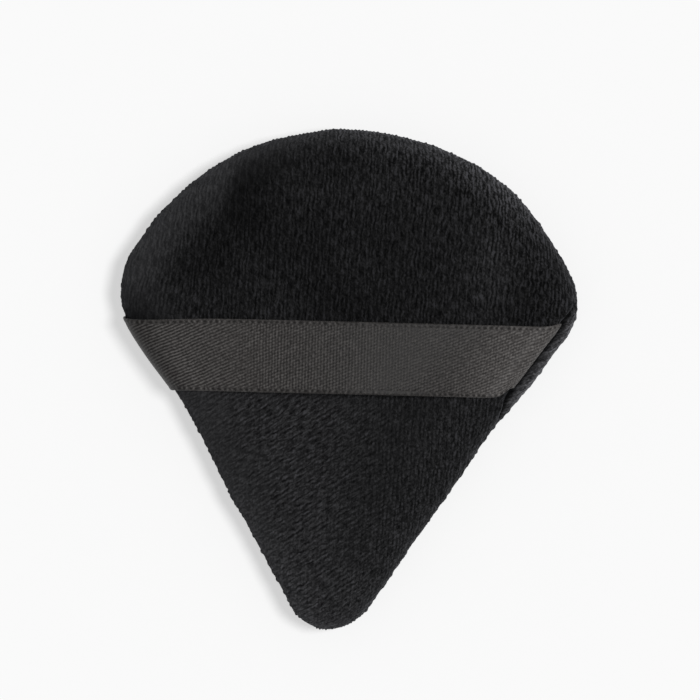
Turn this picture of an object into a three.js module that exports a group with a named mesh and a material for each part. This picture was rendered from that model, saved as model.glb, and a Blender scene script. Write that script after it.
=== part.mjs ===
import * as THREE from "three";

// Lengths are in millimetres and angles in degrees.
// The puff lies strap side up on the XY plane: its round top points to +Y and its tip to -Y.

// Outline of the pad.
const PAD_LENGTH = 83;
const FAN_RADIUS = 41.7;
const TAPER_ANGLE = 32.4;
const CORNER_RADIUS = 11.1;
const TIP_RADIUS = 7.3;
const SIDE_DRAW_IN = 0.6;

// Section of the pad: a crowned top, a round edge, and a flat powder face underneath.
const PAD_THICKNESS = 12;
const EDGE_HEIGHT = 5.5;
const CROWN_POWER = 7;
const BASE_ROUND_WIDTH = 9;
const BASE_POWER = 3;

// Cover and seam. The seam rolls toward the front at the right strap end and toward the back at the left one.
const VELOUR_THICKNESS = 1.2;
const FOLD_RADIUS = 1;
const SEAM_ALLOWANCE = 4;
const SEAM_GAP = 0.3;
const FACE_START = 12.5;
const RIGHT_ROLL = 3.1;
const LEFT_ROLL = -1.5;
const ROLL_FADE = 12;
const FIT_CLEARANCE = 0.3;

// Ribbon strap. It bows up over the pad far enough to take the fingers.
const STRAP_WIDTH = 12;
const STRAP_THICKNESS = 0.35;
const STRAP_SKEW = 2.4;
const STRAP_Y = 3.4;
const STRAP_TAIL = 3.6;
const STRAP_CLEARANCE = 0.25;
const STRAP_EDGE_LOOP = 0.1;
const STRAP_HUG_INSET = 5;
const STRAP_MARGIN = 1;
const FINGER_GAP = 5.5;
const BOW_POWER = 1.1;

// Sewing threads.
const THREAD_DIAMETER = 0.4;
const STITCH_LENGTH = 3;
const STITCH_BOW = 0.15;
const STITCH_LINE = 3;
const CLOSING_LENGTH = 28;
const CLOSING_SHIFT = 5;
const CLOSING_STITCH = 2.4;
const CLOSING_DEPTH = 0.2;

// Mesh steps.
const TIP_STEPS = 4;
const SIDE_STEPS = 15;
const CORNER_STEPS = 6;
const TOP_STEPS = 16;
const OUTER_RIM_RINGS = 5;
const INNER_RIM_RINGS = 3;
const FACE_RINGS = 3;
const STRAP_ROWS = 9;
const BOW_STEPS = 24;
const WRAP_STEPS = 5;
const THREAD_SIDES = 5;

const { degToRad, lerp, smoothstep, clamp } = THREE.MathUtils;

function bisect(value, low, high) {
  const rising = value(high) > value(low);
  let [from, to] = [low, high];
  for (let step = 0; step < 40; step += 1) {
    const middle = (from + to) / 2;
    if (value(middle) > 0 === rising) to = middle;
    else from = middle;
  }
  return (from + to) / 2;
}

// The outline is a chain of arcs and drawn-in sides, run counterclockwise from the lowest point of the tip.
function arcPiece(centre, radius, from, to, steps) {
  const at = (share) => {
    const angle = lerp(from, to, share);
    const normal = new THREE.Vector2(Math.cos(angle), Math.sin(angle));
    return { point: centre.clone().addScaledVector(normal, radius), normal };
  };
  return { at, steps, length: radius * (to - from) };
}

function sidePiece(start, end, normal) {
  const at = (share) => {
    const pull = SIDE_DRAW_IN * Math.sin(Math.PI * share) ** 2;
    return { point: start.clone().lerp(end, share).addScaledVector(normal, -pull), normal };
  };
  return { at, steps: SIDE_STEPS, length: start.distanceTo(end) };
}

function makeOutline() {
  const taper = degToRad(TAPER_ANGLE);
  const fan = new THREE.Vector2(0, PAD_LENGTH / 2 - FAN_RADIUS);
  const tip = new THREE.Vector2(0, TIP_RADIUS - PAD_LENGTH / 2);
  const normal = new THREE.Vector2(Math.cos(taper), -Math.sin(taper));
  const along = new THREE.Vector2(Math.sin(taper), Math.cos(taper));
  // The corner circle touches the side line and, from inside, the fan arc.
  const corner = tip.clone().addScaledVector(normal, TIP_RADIUS - CORNER_RADIUS);
  const toFan = corner.clone().sub(fan);
  const half = toFan.dot(along);
  const reach = (FAN_RADIUS - CORNER_RADIUS) ** 2 - toFan.lengthSq() + half ** 2;
  corner.addScaledVector(along, Math.sqrt(reach) - half);
  const cornerEnd = corner.clone().sub(fan).angle();

  const mirror = (v) => new THREE.Vector2(-v.x, v.y);
  const sideLow = tip.clone().addScaledVector(normal, TIP_RADIUS);
  const sideHigh = corner.clone().addScaledVector(normal, CORNER_RADIUS);
  const left = mirror(corner);
  return [
    arcPiece(tip, TIP_RADIUS, -Math.PI / 2, -taper, TIP_STEPS),
    sidePiece(sideLow, sideHigh, normal),
    arcPiece(corner, CORNER_RADIUS, -taper, cornerEnd, CORNER_STEPS),
    arcPiece(fan, FAN_RADIUS, cornerEnd, Math.PI - cornerEnd, TOP_STEPS),
    arcPiece(left, CORNER_RADIUS, Math.PI - cornerEnd, Math.PI + taper, CORNER_STEPS),
    sidePiece(mirror(sideHigh), mirror(sideLow), mirror(normal)),
    arcPiece(tip, TIP_RADIUS, Math.PI + taper, 1.5 * Math.PI, TIP_STEPS),
  ];
}

const outline = makeOutline();
const PERIMETER = outline.reduce((sum, piece) => sum + piece.length, 0);

function outlineAt(run) {
  let rest = THREE.MathUtils.euclideanModulo(run, PERIMETER);
  for (const piece of outline) {
    if (rest <= piece.length) return piece.at(rest / piece.length);
    rest -= piece.length;
  }
  return outline[0].at(0);
}

function makeStations() {
  const runs = [];
  let start = 0;
  for (const piece of outline) {
    for (let step = 0; step < piece.steps; step += 1) runs.push(start + (piece.length * step) / piece.steps);
    start += piece.length;
  }
  return runs;
}

const stations = makeStations();
const PAD_DEPTH = stations.reduce((sum, run) => sum + outlineAt(run).point.length(), 0) / stations.length;

// A place on the pad is given by its run along the outline, its inset from the edge and its height.
function place(run, inset, height) {
  const { point, normal } = outlineAt(run);
  const reach = point.length();
  const outward = point.clone().divideScalar(reach);
  const blend = smoothstep(inset / PAD_DEPTH, 0, 0.6);
  const scale = lerp(1 / outward.dot(normal), reach / PAD_DEPTH, blend);
  outward.multiplyScalar(reach - inset * scale);
  return new THREE.Vector3(outward.x, outward.y, height);
}

// The pad's section, as inset and height, measured in arc length from the widest line of the edge.
function sectionCurve(height) {
  const points = [];
  for (let step = 0; step <= 60; step += 1) {
    const inset = PAD_DEPTH * (step / 60) ** 2;
    points.push(new THREE.Vector2(inset, height(inset)));
  }
  const curve = new THREE.SplineCurve(points);
  curve.arcLengthDivisions = 1200;
  return curve;
}

const topHeight = (inset) => {
  const share = 1 - clamp(inset / PAD_DEPTH, 0, 1);
  return EDGE_HEIGHT + (PAD_THICKNESS - EDGE_HEIGHT) * Math.sqrt(1 - share ** CROWN_POWER);
};
const baseHeight = (inset) => {
  const share = 1 - clamp(inset / BASE_ROUND_WIDTH, 0, 1);
  return EDGE_HEIGHT * (1 - Math.sqrt(1 - share ** BASE_POWER));
};
const topCurve = sectionCurve(topHeight);
const baseCurve = sectionCurve(baseHeight);
const TOP_RUN = topCurve.getLength();
const BASE_RUN = baseCurve.getLength();

function section(distance) {
  const top = distance >= 0;
  const curve = top ? topCurve : baseCurve;
  const share = clamp(top ? distance / TOP_RUN : -distance / BASE_RUN, 0, 1);
  const forward = curve.getTangentAt(share).multiplyScalar(top ? 1 : -1);
  return { point: curve.getPointAt(share), forward, inward: new THREE.Vector2(forward.y, -forward.x) };
}

function below(distance, depth) {
  const { point, inward } = section(distance);
  return point.addScaledVector(inward, depth);
}

// Strap directions in plan, and the runs where its centre line meets the two sides of the pad.
const skew = degToRad(STRAP_SKEW);
const strapAlong = new THREE.Vector2(Math.cos(skew), Math.sin(skew));
const strapAcross = new THREE.Vector2(-Math.sin(skew), Math.cos(skew));
const strapCentre = new THREE.Vector2(0, STRAP_Y);
const acrossStrap = (point) => strapAcross.dot(new THREE.Vector2(point.x, point.y).sub(strapCentre));
const alongStrap = (point) => strapAlong.dot(new THREE.Vector2(point.x, point.y).sub(strapCentre));
const RIGHT_RUN = bisect((run) => acrossStrap(outlineAt(run).point), 0, PERIMETER / 2);
const LEFT_RUN = bisect((run) => acrossStrap(outlineAt(run).point), PERIMETER / 2, PERIMETER);
const STRAP_REACH = STRAP_WIDTH / 2 / Math.cos(degToRad(TAPER_ANGLE)) + STRAP_MARGIN;

const nearStrapEnd = (run, end, fade) => 1 - smoothstep(Math.abs(run - end), STRAP_REACH, STRAP_REACH + fade);
const wrapRun = (run) => THREE.MathUtils.euclideanModulo(run, PERIMETER);

function seamRoll(run) {
  const at = wrapRun(run);
  const right = RIGHT_ROLL * nearStrapEnd(at, RIGHT_RUN, ROLL_FADE);
  return right + LEFT_ROLL * nearStrapEnd(at, LEFT_RUN, ROLL_FADE);
}

// The two turned-in edges part a little where a strap tail lies between them.
const STRAP_HALF_GAP = STRAP_THICKNESS / 2 + STRAP_CLEARANCE;
function halfGap(run) {
  const at = wrapRun(run);
  const share = nearStrapEnd(at, RIGHT_RUN, ROLL_FADE) + nearStrapEnd(at, LEFT_RUN, ROLL_FADE);
  return lerp(SEAM_GAP / 2, STRAP_HALF_GAP, share);
}

// A place in the seam: depth under the surface, and offset from the seam's middle toward the front.
function seamPlace(run, depth, offset) {
  const { point, inward, forward } = section(seamRoll(run));
  return point.addScaledVector(inward, depth).addScaledVector(forward, offset);
}

// Rings are functions from a run to inset and height; the first and last close to a point on the middle axis.
// A mirrored loft splits its quads the other way, so that the two turned-in edges keep parallel facets.
function loft(rings, mirrored = false) {
  const count = stations.length;
  const positions = [];
  const triangles = [];
  const push = (run, ring) => {
    const spot = ring(run);
    positions.push(...place(run, spot.x, spot.y).toArray());
  };
  push(0, rings[0]);
  for (const ring of rings.slice(1, -1)) {
    for (const run of stations) push(run, ring);
  }
  push(0, rings[rings.length - 1]);
  const last = 1 + (rings.length - 2) * count;
  for (let step = 0; step < count; step += 1) {
    const next = (step + 1) % count;
    triangles.push(0, 1 + step, 1 + next);
    for (let ring = 0; ring < rings.length - 3; ring += 1) {
      const upper = 1 + ring * count;
      const lower = upper + count;
      triangles.push(upper + step, lower + step, mirrored ? upper + next : lower + next);
      triangles.push(mirrored ? lower + step : upper + step, lower + next, upper + next);
    }
    triangles.push(last - count + step, last, last - count + next);
  }
  return indexedGeometry(positions, triangles);
}

function indexedGeometry(positions, triangles) {
  const geometry = new THREE.BufferGeometry();
  geometry.setAttribute("position", new THREE.Float32BufferAttribute(positions, 3));
  geometry.setIndex(triangles);
  geometry.computeVertexNormals();
  return geometry;
}

// The panels and the sponge share these rings over the middle of each face: their facets stay parallel.
function faceRings(side, depth) {
  const end = side > 0 ? TOP_RUN : -BASE_RUN;
  const rings = [];
  for (let ring = 0; ring <= FACE_RINGS; ring += 1) {
    rings.push(() => below(lerp(side * FACE_START, end, (ring / FACE_RINGS) ** 1.3), depth));
  }
  return rings;
}

// One velour panel: outer face, fold, turned-in edge, raw edge and inner face. The front's side is 1.
function panel(side) {
  const rimRings = (count, margin, depth) => {
    const rings = [];
    for (let ring = 0; ring < count; ring += 1) {
      const from = (run) => seamRoll(run) + side * (halfGap(run) + margin);
      rings.push((run) => below(lerp(from(run), side * FACE_START, ring / count), depth));
    }
    return rings;
  };
  const outer = [...rimRings(OUTER_RIM_RINGS, FOLD_RADIUS, 0), ...faceRings(side, 0)];
  const lining = rimRings(INNER_RIM_RINGS, VELOUR_THICKNESS + 1, VELOUR_THICKNESS);
  const inner = [...lining, ...faceRings(side, VELOUR_THICKNESS)];
  const bevel = FOLD_RADIUS * (1 - Math.SQRT1_2);
  const edge = FOLD_RADIUS + SEAM_ALLOWANCE;
  const turned = [
    (run) => seamPlace(run, bevel, side * (halfGap(run) + bevel)),
    (run) => seamPlace(run, FOLD_RADIUS, side * halfGap(run)),
    (run) => seamPlace(run, edge, side * halfGap(run)),
    (run) => seamPlace(run, edge, side * (halfGap(run) + VELOUR_THICKNESS)),
    (run) => seamPlace(run, VELOUR_THICKNESS + 0.4, side * (halfGap(run) + VELOUR_THICKNESS)),
  ];
  const rings = [...outer.reverse(), ...turned, ...inner];
  return side > 0 ? loft(rings) : loft(rings.reverse(), true);
}

// The sponge fills the cover up to the turned-in edges.
function foam() {
  const depth = VELOUR_THICKNESS + FIT_CLEARANCE;
  const edge = FOLD_RADIUS + SEAM_ALLOWANCE;
  const rim = (run) => {
    const corner = (side) => seamPlace(run, edge, side * (halfGap(run) + VELOUR_THICKNESS)).x;
    return Math.max(corner(1), corner(-1)) + FIT_CLEARANCE;
  };
  const face = (side) => {
    const start = (run) => bisect((distance) => below(side * distance, depth).x - rim(run), 1, FACE_START);
    return [(run) => below(side * start(run), depth), ...faceRings(side, depth)];
  };
  const [top, base] = [face(1), face(-1)];
  return loft([...top.reverse(), ...base]);
}

// Run, on one side of the pad, where a spot of the section crosses one row of the strap.
function onRow(row, side, spotAt) {
  const at = (run) => place(run, ...spotAt(run).toArray());
  const [low, high] = side > 0 ? [0, PERIMETER / 2] : [PERIMETER / 2, PERIMETER];
  return at(bisect((run) => acrossStrap(at(run)) - row, low, high));
}

function padTop(x, y) {
  const turn = (run) => {
    const { point } = outlineAt(run);
    return THREE.MathUtils.euclideanModulo(Math.atan2(point.y, point.x) + Math.PI / 2, 2 * Math.PI);
  };
  const target = THREE.MathUtils.euclideanModulo(Math.atan2(y, x) + Math.PI / 2, 2 * Math.PI);
  const run = bisect((at) => turn(at) - target, 1e-6, PERIMETER - 1e-6);
  const reach = Math.hypot(x, y);
  const inset = bisect((at) => Math.hypot(...place(run, at, 0).toArray()) - reach, 0, PAD_DEPTH);
  return topHeight(inset);
}

// One end of a strap row, from the tail in the seam round the panel's fold and up the edge of the pad.
function strapEnd(row, side) {
  const bend = FOLD_RADIUS + STRAP_HALF_GAP;
  const points = [onRow(row, side, (run) => seamPlace(run, FOLD_RADIUS + STRAP_TAIL, 0))];
  for (const angle of [0, Math.PI / 4]) {
    const depth = FOLD_RADIUS - bend * Math.sin(angle);
    const offset = bend * (1 - Math.cos(angle));
    points.push(onRow(row, side, (run) => seamPlace(run, depth, offset)));
  }
  const hug = bisect((distance) => section(distance).point.x - STRAP_HUG_INSET, 0, TOP_RUN);
  for (let step = 0; step <= WRAP_STEPS; step += 1) {
    const share = step / WRAP_STEPS;
    points.push(
      onRow(row, side, (run) => {
        const start = seamRoll(run) + bend;
        const loop = STRAP_EDGE_LOOP * (hug - start) * Math.sin(Math.PI * share) ** 2;
        return below(lerp(start, hug, share), -STRAP_HALF_GAP - loop);
      }),
    );
  }
  return points;
}

// Middle line of one strap row, from its right tail to its left tail.
function strapRow(row) {
  const right = strapEnd(row, 1);
  const left = strapEnd(row, -1);
  const from = right[right.length - 1];
  const to = left[left.length - 1];
  const lift = (point) => point.z - padTop(point.x, point.y);
  const bow = [];
  for (let step = 1; step < BOW_STEPS; step += 1) {
    const share = step / BOW_STEPS;
    const point = from.clone().lerp(to, share);
    const rise = FINGER_GAP * (1 - (2 * share - 1) ** 2) ** BOW_POWER;
    point.z = padTop(point.x, point.y) + lerp(lift(from), lift(to), share) + rise;
    bow.push(point);
  }
  return [...right, ...bow, ...left.reverse()];
}

// A ribbon made of rows: each row is thickened in its own upright plane.
function strap() {
  const rows = [];
  for (let index = 0; index < STRAP_ROWS; index += 1) {
    rows.push(strapRow(STRAP_WIDTH * (index / (STRAP_ROWS - 1) - 0.5)));
  }
  const length = rows[0].length;
  const positions = [];
  const triangles = [];
  for (const row of rows) {
    row.forEach((point, index) => {
      const before = row[Math.max(0, index - 1)];
      const after = row[Math.min(length - 1, index + 1)];
      const run = alongStrap(before) - alongStrap(after);
      const up = new THREE.Vector2(before.z - after.z, run).normalize();
      for (const face of [1, -1]) {
        const shift = (face * STRAP_THICKNESS) / 2;
        const sideways = strapAlong.clone().multiplyScalar(-up.x * shift);
        positions.push(point.x + sideways.x, point.y + sideways.y, point.z + up.y * shift);
      }
    });
  }
  const vertex = (row, index, face) => (row * length + index) * 2 + face;
  const quad = (a, b, c, d) => triangles.push(a, b, c, a, c, d);
  for (let row = 0; row + 1 < STRAP_ROWS; row += 1) {
    for (let index = 0; index + 1 < length; index += 1) {
      const corners = [[row, index], [row + 1, index], [row + 1, index + 1], [row, index + 1]];
      quad(...corners.map((corner) => vertex(...corner, 0)));
      quad(...corners.reverse().map((corner) => vertex(...corner, 1)));
    }
    for (const index of [0, length - 1]) {
      const near = [vertex(row, index, 0), vertex(row, index, 1)];
      const far = [vertex(row + 1, index, 1), vertex(row + 1, index, 0)];
      const corners = [...near, ...far];
      quad(...(index === 0 ? corners : corners.reverse()));
    }
  }
  for (const row of [0, STRAP_ROWS - 1]) {
    for (let index = 0; index + 1 < length; index += 1) {
      const top = [vertex(row, index, 0), vertex(row, index + 1, 0)];
      const under = [vertex(row, index + 1, 1), vertex(row, index, 1)];
      const corners = [...top, ...under];
      quad(...(row === 0 ? corners : corners.reverse()));
    }
  }
  return indexedGeometry(positions, triangles);
}

function threadAlong(points) {
  const ring = [];
  for (let side = 0; side < THREAD_SIDES; side += 1) {
    const angle = (2 * Math.PI * side) / THREAD_SIDES;
    ring.push(new THREE.Vector2(Math.cos(angle), Math.sin(angle)).multiplyScalar(THREAD_DIAMETER / 2));
  }
  const extrudePath = new THREE.CatmullRomCurve3(points);
  const settings = { extrudePath, steps: points.length - 1, bevelEnabled: false };
  return new THREE.ExtrudeGeometry(new THREE.Shape(ring), settings);
}

const CLOSING_START = PERIMETER / 2 - CLOSING_SHIFT - CLOSING_LENGTH / 2;
const CLOSING_END = CLOSING_START + CLOSING_LENGTH;

// One thread of the machine seam: it runs all round except across the turning gap.
function seamThread(side) {
  const length = PERIMETER - CLOSING_LENGTH;
  const halfStitches = 2 * Math.round(length / STITCH_LENGTH);
  const points = [];
  for (let step = 0; step <= halfStitches; step += 1) {
    const run = CLOSING_END + (length * step) / halfStitches;
    const bow = step % 2 === 1 ? STITCH_BOW : 0;
    const offset = halfGap(run) + VELOUR_THICKNESS + FIT_CLEARANCE + THREAD_DIAMETER / 2 + bow;
    const spot = seamPlace(run, STITCH_LINE, side * offset);
    points.push(place(run, spot.x, spot.y));
  }
  return threadAlong(points);
}

// The closing thread crosses from fold to fold in the mouth of the seam, like the rungs of a ladder.
function closingThread() {
  const stitches = Math.floor(CLOSING_LENGTH / CLOSING_STITCH);
  const swing = SEAM_GAP / 2 + FOLD_RADIUS / 4 - THREAD_DIAMETER / 2;
  const points = [];
  for (let stitch = 0; stitch < stitches; stitch += 1) {
    const side = stitch % 2 === 0 ? 1 : -1;
    for (const share of [0.2, 0.5, 0.8]) {
      const run = CLOSING_START + CLOSING_LENGTH * ((stitch + share) / stitches);
      const spot = seamPlace(run, CLOSING_DEPTH, side * swing);
      points.push(place(run, spot.x, spot.y));
    }
  }
  return threadAlong(points);
}

const velour = new THREE.MeshStandardMaterial({ color: 0x1d1d1f, roughness: 1, metalness: 0 });
const satin = new THREE.MeshStandardMaterial({ color: 0x3c3b3b, roughness: 0.6, metalness: 0 });
const sponge = new THREE.MeshStandardMaterial({ color: 0xe6dfcf, roughness: 0.95, metalness: 0 });
const yarn = new THREE.MeshStandardMaterial({ color: 0x202022, roughness: 0.8, metalness: 0 });

function node(name, geometry, material) {
  const mesh = new THREE.Mesh(geometry, material);
  mesh.name = name;
  return mesh;
}

const puff = new THREE.Group();
puff.name = "powder_puff";
puff.add(
  node("front_panel", panel(1), velour),
  node("back_panel", panel(-1), velour),
  node("foam_core", foam(), sponge),
  node("finger_strap", strap(), satin),
  node("seam_needle_thread", seamThread(1), yarn),
  node("seam_bobbin_thread", seamThread(-1), yarn),
  node("closing_stitch", closingThread(), yarn),
);

// The origin is under the middle of the whole puff's box.
const bounds = new THREE.Box3().setFromObject(puff);
const middle = bounds.getCenter(new THREE.Vector3());
puff.children.forEach((mesh) => mesh.geometry.translate(-middle.x, -middle.y, -bounds.min.z));

export default puff;
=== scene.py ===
"""Powder puff: a velour pad with a satin finger strap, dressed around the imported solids."""

import math

import bpy
import numpy as np
from mathutils.kdtree import KDTree
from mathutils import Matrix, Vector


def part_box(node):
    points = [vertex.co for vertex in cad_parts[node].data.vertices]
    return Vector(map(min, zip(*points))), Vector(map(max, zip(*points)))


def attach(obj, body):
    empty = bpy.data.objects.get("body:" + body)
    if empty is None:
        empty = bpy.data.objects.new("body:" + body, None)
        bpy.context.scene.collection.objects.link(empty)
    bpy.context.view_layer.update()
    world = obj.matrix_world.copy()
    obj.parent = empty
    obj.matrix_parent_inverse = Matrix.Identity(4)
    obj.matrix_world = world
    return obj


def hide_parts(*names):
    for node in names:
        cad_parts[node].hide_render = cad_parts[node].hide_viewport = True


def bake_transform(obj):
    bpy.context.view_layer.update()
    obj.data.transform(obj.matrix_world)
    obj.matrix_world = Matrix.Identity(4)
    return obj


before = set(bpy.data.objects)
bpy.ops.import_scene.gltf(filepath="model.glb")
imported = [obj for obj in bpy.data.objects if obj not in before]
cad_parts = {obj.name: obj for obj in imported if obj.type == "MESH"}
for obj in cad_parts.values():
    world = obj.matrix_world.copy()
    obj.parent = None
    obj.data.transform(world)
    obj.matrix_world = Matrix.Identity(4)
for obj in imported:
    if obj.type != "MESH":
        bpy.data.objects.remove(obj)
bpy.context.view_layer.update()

MM = 0.001

# Outline of the pad, in its own plan with the tip towards -Y.
PAD_LENGTH = 83 * MM
FAN_RADIUS = 41.7 * MM
TAPER_ANGLE = math.radians(32.4)
CORNER_RADIUS = 11.1 * MM
TIP_RADIUS = 7.3 * MM
SIDE_DRAW_IN = 0.6 * MM
OUTLINE_STEP = 0.05 * MM

# Section of the pad, between its widest line and its middle.
PAD_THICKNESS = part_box("front_panel")[1].z
EDGE_HEIGHT = 5.5 * MM
CROWN_POWER = 7
BASE_ROUND_WIDTH = 9 * MM
BASE_POWER = 3
CROWN_BLUR = 2 * MM
SECTION_STEPS = 3000

# Cover and seam. The roll is how far the seam lies towards the front at each end of the strap.
VELOUR_THICKNESS = 1.2 * MM
FOLD_RADIUS = 1 * MM
FOLD_RUN = FOLD_RADIUS * math.pi / 2
SEAM_ALLOWANCE = 4 * MM
SEAM_GAP = 0.3 * MM
FACE_START = 12.5 * MM
RIGHT_ROLL = 3.6 * MM
LEFT_ROLL = -1.5 * MM
ROLL_FADE = 7 * MM
FIT_CLEARANCE = 0.3 * MM
TUCK = 1.2 * MM

# Velour: knitted wales run along the pad, and the loops of neighbouring wales are half a course apart.
WALE = 0.647 * MM
COURSE = 0.925 * MM
COLUMNS_PER_WALE = 2
ROWS_PER_COURSE = 3
PILE_HEIGHT = 0.13 * MM
STRAY_PILE = 0.16 * MM
LOWEST_LOOP = 0.2
TALLEST_LOOP = 1.6
LOOP_TABLE = 400
CLUMP_RELIEF = 0.03 * MM
CLUMP_SPREAD = 0.4 * MM
SOFT_RELIEF = 0.08 * MM
SOFT_SPREAD = 3 * MM
# The rolled lip's painted shading changes over this length; the painted highlights and shades below are
# shares of the pile's own colour.
LIP_SHADE = 1.2 * MM
LIP_EDGE_HIGHLIGHT = 4.3
LIP_SEAM_SHADE = -0.4
# Painted highlight on the outermost pile, where it catches the key light.
FRINGE_HIGHLIGHT = 1.3
# Painted shade in the seam.
SEAM_SHADE = 0.2

# Cloth pass that swells the covers.
CLOTH_STEP = 1.5 * MM
CLOTH_FRAMES = 20
CLOTH_PRESSURE = 4
CLOTH_SLACK = 0.01
CLOTH_UNEVENNESS = 0.03 * MM
CLOTH_REST = 0.3 * MM
SWELL_CAP = 0.6 * MM
SWELL_START = 5 * MM

# Sponge.
SPONGE_STRIDE = 16
SPONGE_RINGS = 24

# Ribbon strap.
STRAP_WIDTH = 12 * MM
STRAP_THICKNESS = 0.35 * MM
STRAP_SKEW = math.radians(2.4)
STRAP_Y = 3.4 * MM
STRAP_TAIL = 3.6 * MM
STRAP_CLEARANCE = 0.25 * MM
STRAP_EDGE_LOOP = 0.1
STRAP_HUG_INSET = 5 * MM
FINGER_GAP = 5.5 * MM
BOW_POWER = 1.1
WEAVE_COLUMN = 0.51 * MM
WEAVE_ROW = 0.534 * MM
SATIN_SHIFT = 0.384
SELVEDGE = 0.75 * MM
SELVEDGE_BEAD = 1.02 * MM
WEAVE_RELIEF = 0.02 * MM
BEAD_RELIEF = 0.025 * MM
GROOVE_DEPTH = 0.04 * MM
GROOVE_WIDTH = 0.15 * MM
RIBBON_ROUND = 0.25 * MM
CORNER_DRAW = 1.8 * MM
CORNER_FADE = 0.25
CORNER_FLARE = 0.6 * MM
# Steps along the ribbon: in each tail, round the seam's mouth, up the edge and over the bow.
TAIL_STEPS = 12
MOUTH_STEPS = 12
EDGE_STEPS = 40
BOW_STEPS = 200
# Smoothing along the ribbon, in steps of its mesh.
SMOOTHING_SPREAD = 3.5
SMOOTHING_REACH = 9
# Painted highlight and shade on the satin along the ribbon, from how it catches the key light: how light it
# looks, from its right tail at 0 to its left tail at 1.
SATIN_PAINTED_LIGHT = [
    (0.06, 1.45),
    (0.13, 1.32),
    (0.25, 0.68),
    (0.36, 0.54),
    (0.5, 0.72),
    (0.65, 0.96),
    (0.8, 1.14),
    (0.86, 0.66),
    (0.93, 0.58),
]

# Sewing threads.
THREAD_DIAMETER = 0.4 * MM
THREAD_SIDES = 10
STITCH_LENGTH = 3 * MM
STITCH_BOW = 0.15 * MM
STITCH_LINE = 3 * MM
CLOSING_LENGTH = 28 * MM
CLOSING_SHIFT = 5 * MM
CLOSING_STITCH = 2.4 * MM
CLOSING_DEPTH = 0.55 * MM
THREAD_TWIST = 1.3 * MM

# The photograph is taken from straight above, 6 pixels to the millimetre, with the puff turned a little.
FRAME_WIDTH = 116.7 * MM
CAMERA_AIM = (0.9 * MM, 4.71 * MM)
CAMERA_TURN = math.radians(3.83)
CAMERA_HEIGHT = 1.2
SENSOR_WIDTH = 36

# White paper, and a soft key light from the right with an even fill that together light it at strength 1.
FLOOR_HALF = 3
PAPER_TONE = 0.956
PAPER_GRAIN = 0.004
FILL_LEVEL = 0.27
KEY_TILT = math.radians(21)
KEY_TURN = math.radians(12)
KEY_SOFTNESS = math.radians(16)
FLOOR_EVENNESS = 0.59


def smoothstep(value, low, high):
    share = np.clip((value - low) / (high - low), 0, 1)
    return share * share * (3 - 2 * share)


def lerp(start, end, share):
    return start + (end - start) * share


def unit(vectors):
    """Vectors brought to length 1."""
    return vectors / np.linalg.norm(vectors, axis=-1, keepdims=True)


def run_along(lines):
    """How far each point lies along its line."""
    steps = np.linalg.norm(np.diff(lines, axis=0), axis=-1)
    return np.concatenate([np.zeros_like(steps[:1]), steps.cumsum(0)])


def arc_piece(centre, radius, start, end):
    def at(share):
        angle = lerp(start, end, share)
        normal = np.stack([np.cos(angle), np.sin(angle)], 1)
        return centre + radius * normal, normal

    return at, radius * (end - start)


def side_piece(start, end, normal):
    def at(share):
        pull = SIDE_DRAW_IN * np.sin(np.pi * share) ** 2
        points = lerp(start, end, share[:, None]) - normal * pull[:, None]
        return points, np.tile(normal, (len(share), 1))

    return at, np.linalg.norm(end - start)


def make_outline():
    """Close samples of the outline, counterclockwise from the tip: its length, runs, points and normals."""
    fan = np.array([0, PAD_LENGTH / 2 - FAN_RADIUS])
    tip = np.array([0, TIP_RADIUS - PAD_LENGTH / 2])
    normal = np.array([math.cos(TAPER_ANGLE), -math.sin(TAPER_ANGLE)])
    along = np.array([math.sin(TAPER_ANGLE), math.cos(TAPER_ANGLE)])
    # The corner circle touches the side line and, from inside, the fan arc.
    corner = tip + normal * (TIP_RADIUS - CORNER_RADIUS)
    half = (corner - fan) @ along
    reach = (FAN_RADIUS - CORNER_RADIUS) ** 2 - ((corner - fan) ** 2).sum() + half**2
    corner = corner + along * (math.sqrt(reach) - half)
    corner_end = math.atan2(*(corner - fan)[::-1])
    side_low = tip + normal * TIP_RADIUS
    side_high = corner + normal * CORNER_RADIUS
    flip = np.array([-1, 1])
    pieces = [
        arc_piece(tip, TIP_RADIUS, -math.pi / 2, -TAPER_ANGLE),
        side_piece(side_low, side_high, normal),
        arc_piece(corner, CORNER_RADIUS, -TAPER_ANGLE, corner_end),
        arc_piece(fan, FAN_RADIUS, corner_end, math.pi - corner_end),
        arc_piece(corner * flip, CORNER_RADIUS, math.pi - corner_end, math.pi + TAPER_ANGLE),
        side_piece(side_high * flip, side_low * flip, normal * flip),
        arc_piece(tip, TIP_RADIUS, math.pi + TAPER_ANGLE, 1.5 * math.pi),
    ]
    runs, points, normals = [], [], []
    start = 0
    for at, length in pieces:
        count = math.ceil(length / OUTLINE_STEP)
        share = np.arange(count) / count
        piece_points, piece_normals = at(share)
        runs.append(start + share * length)
        points.append(piece_points)
        normals.append(piece_normals)
        start += length
    return start, np.concatenate(runs), np.concatenate(points), np.concatenate(normals)


PERIMETER, RUN, EDGE, OUTWARD = make_outline()
REACH = np.linalg.norm(EDGE, axis=1)
PAD_DEPTH = REACH.mean()
edge_tree = KDTree(len(EDGE))
for index, (edge_x, edge_y) in enumerate(EDGE):
    edge_tree.insert((edge_x, edge_y, 0), index)
edge_tree.balance()


def nearest_edge(plan):
    """Index of the outline sample next to each plan point, and the point's inset from the outline."""
    near = np.array([edge_tree.find((x, y, 0))[1] for x, y in plan])
    return near, ((EDGE[near] - plan) * OUTWARD[near]).sum(1)


def top_height(inset):
    share = 1 - np.clip(inset / PAD_DEPTH, 0, 1)
    return EDGE_HEIGHT + (PAD_THICKNESS - EDGE_HEIGHT) * np.sqrt(1 - share**CROWN_POWER)


def base_height(inset):
    share = 1 - np.clip(inset / BASE_ROUND_WIDTH, 0, 1)
    return EDGE_HEIGHT * (1 - np.sqrt(1 - share**BASE_POWER))


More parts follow.
